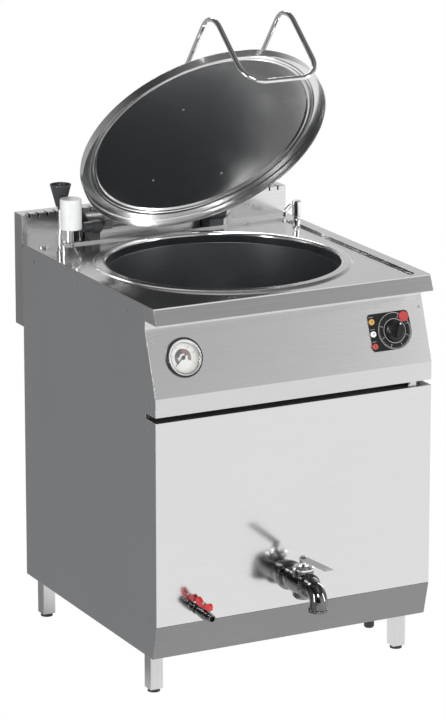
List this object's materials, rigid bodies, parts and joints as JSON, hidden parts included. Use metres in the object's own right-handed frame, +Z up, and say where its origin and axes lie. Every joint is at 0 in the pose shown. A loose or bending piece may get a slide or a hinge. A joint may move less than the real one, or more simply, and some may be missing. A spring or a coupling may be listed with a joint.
{
  "type": "steam jacketed kettle",
  "caption": "Free-standing steel boiling kettle: round jacketed pan in a square cabinet, hinged domed lid with tube grip, front discharge tap, gauge, selector, rear flue upstand.",
  "frame": {"origin": "bottom centre of the whole object's bounding box, on the floor, with the lid in its stored open pose", "axes": "+Z up, -Y towards the operator (tap, gauge and selector), +X to the operator's right as they face the kettle's front from -Y"},
  "size_m": [0.7022, 0.932, 1.5034],
  "materials": {
    "worktop_steel": "polished to a soft mirror",
    "front_steel": "fine satin",
    "side_steel": "fine satin",
    "control_steel": "fine satin",
    "plinth_steel": "fine satin",
    "flue_steel": "fine satin",
    "pan_steel": "satin",
    "jacket_steel": "mill finish",
    "insulation": "mineral wool",
    "lid_steel": "polished",
    "chrome": "polished",
    "shaft_steel": "ground",
    "hinge_dark": "dark painted casting",
    "hinge_arm_steel": "satin",
    "frame_zinc": "zinc plated",
    "leg_steel": "satin",
    "foot_plastic": "moulded",
    "screw_steel": "bright",
    "catch_steel": "bright",
    "pipe_steel": "drawn tube",
    "copper_tube": "drawn tube",
    "element_sheath": "heat-darkened",
    "brass": "machined",
    "gauge_black": "moulded",
    "gauge_face": "satin white",
    "gauge_lens": "clear",
    "needle_black": "matte black",
    "plate_black": "glossy black",
    "knob_black": "fine moulded",
    "switch_body": "moulded",
    "lamp_amber": "translucent",
    "lamp_clear": "translucent",
    "lamp_red": "translucent",
    "cap_red": "moulded",
    "cap_white": "moulded",
    "funnel_black": "moulded",
    "handle_red": "gloss painted",
    "gland_black": "moulded nylon"
  },
  "bodies": {
    "cabinet": {"worktop": "worktop_steel", "front_panel": "front_steel", "side_panel_left": "side_steel", "side_panel_right": "side_steel", "rear_panel": "side_steel", "control_panel": "control_steel", "slot_strip": "frame_zinc", "kick_panel": "plinth_steel", "flue_upstand": "flue_steel", "base_tray": "side_steel", "inner_frame": "frame_zinc", "inner_pan": "pan_steel", "steam_jacket": "jacket_steel", "jacket_insulation": "insulation", "element_flange": "brass", "heating_elements": "element_sheath", "drain_pipe": "pipe_steel", "drain_strainer": "pipe_steel", "jacket_drain_pipe": "pipe_steel", "gauge_case": "gauge_black", "gauge_bezel": "chrome", "gauge_dial": "gauge_face", "gauge_glass": "gauge_lens", "pressure_pipe": "copper_tube", "control_plate": "plate_black", "selector_switch": "switch_body", "lamp_amber": "lamp_amber", "lamp_clear": "lamp_clear", "lamp_red": "lamp_red", "reset_cap": "cap_red", "filling_pipe": "chrome", "filling_funnel": "funnel_black", "safety_valve_body": "chrome", "water_tap_body": "chrome", "water_pipe": "copper_tube", "cable_gland": "gland_black", "hinge_shaft": "shaft_steel", "hinge_brackets": "hinge_dark", "spring_housing": "hinge_dark", "hinge_end_plate": "chrome", "discharge_tap_body": "chrome", "discharge_tap_bonnet": "chrome", "ball_valve_body": "chrome", "legs": "leg_steel", "levelling_feet": "foot_plastic", "panel_catch": "catch_steel", "panel_screws": "screw_steel"},
    "lid": {"lid_shell": "lid_steel", "lid_handle": "chrome", "hinge_arms": "hinge_arm_steel"},
    "selector_knob": {"control_knob": "knob_black"},
    "gauge_pointer": {"gauge_needle": "needle_black"},
    "discharge_plug": {"discharge_tap_plug": "chrome", "discharge_tap_lever": "chrome"},
    "drain_ball": {"ball_valve_ball": "chrome", "ball_valve_handle": "handle_red", "handle_nut": "screw_steel"},
    "safety_cap": {"safety_valve_cap": "cap_white"},
    "vent_arm": {"vent_lever": "chrome"},
    "water_spout": {"water_tap_spout": "chrome"}
  },
  "joints": [
    {"name": "lid_hinge", "type": "hinge", "parent": "cabinet", "child": "lid", "pos_m": [-0.021, 0.378, 0.9445], "axis": [-1, 0, 0], "range_deg": [-51.5, 19]},
    {"name": "selector_turn", "type": "hinge", "parent": "cabinet", "child": "selector_knob", "pos_m": [0.2663, -0.25274, 0.78399], "axis": [0, 0.9452, -0.3266], "range_deg": [0, 270]},
    {"name": "gauge_pointer_turn", "type": "hinge", "parent": "cabinet", "child": "gauge_pointer", "pos_m": [-0.2657, -0.25143, 0.78777], "axis": [0, 0.9452, -0.3266], "range_deg": [0, 250], "stiffness_Nm_per_rad": 0.01},
    {"name": "discharge_tap_turn", "type": "hinge", "parent": "cabinet", "child": "discharge_plug", "pos_m": [-0.015, -0.344, 0.254], "axis": [0, 0, 1], "range_deg": [0, 90]},
    {"name": "ball_valve_turn", "type": "hinge", "parent": "cabinet", "child": "drain_ball", "pos_m": [-0.25, -0.316, 0.21], "axis": [0, 0, 1], "range_deg": [0, 90]},
    {"name": "safety_cap_lift", "type": "slide", "parent": "cabinet", "child": "safety_cap", "axis": [0, 0, 1], "range_m": [0, 0.006]},
    {"name": "test_lever_lift", "type": "hinge", "parent": "cabinet", "child": "vent_arm", "pos_m": [-0.29305, 0.26804, 0.936], "axis": [-0.9956, 0.094, 0], "range_deg": [0, 20]},
    {"name": "water_spout_swivel", "type": "hinge", "parent": "cabinet", "child": "water_spout", "pos_m": [0.284, 0.246, 0.96], "axis": [0, 0, 1], "range_deg": [-60, 60]}
  ]
}
